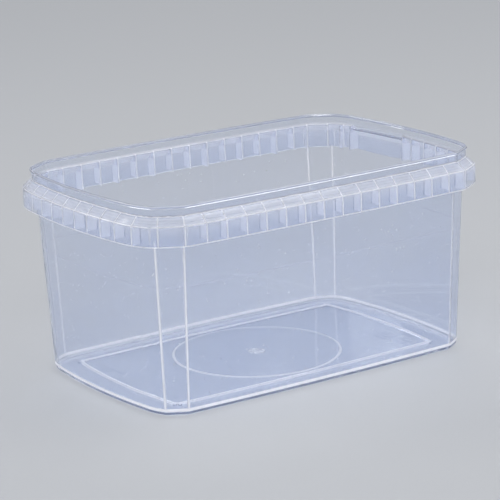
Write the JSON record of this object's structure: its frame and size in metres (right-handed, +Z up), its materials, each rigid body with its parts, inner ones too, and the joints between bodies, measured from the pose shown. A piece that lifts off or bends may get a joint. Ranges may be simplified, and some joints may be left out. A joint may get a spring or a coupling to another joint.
{
  "type": "rectangular packaging tub",
  "caption": "Empty open rectangular food tub in clear plastic, with tapered walls, faceted corners, lid bead and a ribbed tamper-evident skirt with a tear-tab bay.",
  "frame": {"origin": "centre of the footprint, on the plane the foot stands on", "axes": "+X along the long side, towards the end with the tear-tab bay; +Y across, towards the bay's side; +Z up, out of the open mouth"},
  "size_m": [0.2078, 0.1404, 0.1023],
  "materials": {
    "clear_plastic": "glossy natural polypropylene with a faint blue-grey haze"
  },
  "bodies": {
    "root": {"tub": "clear_plastic"}
  },
  "joints": []
}
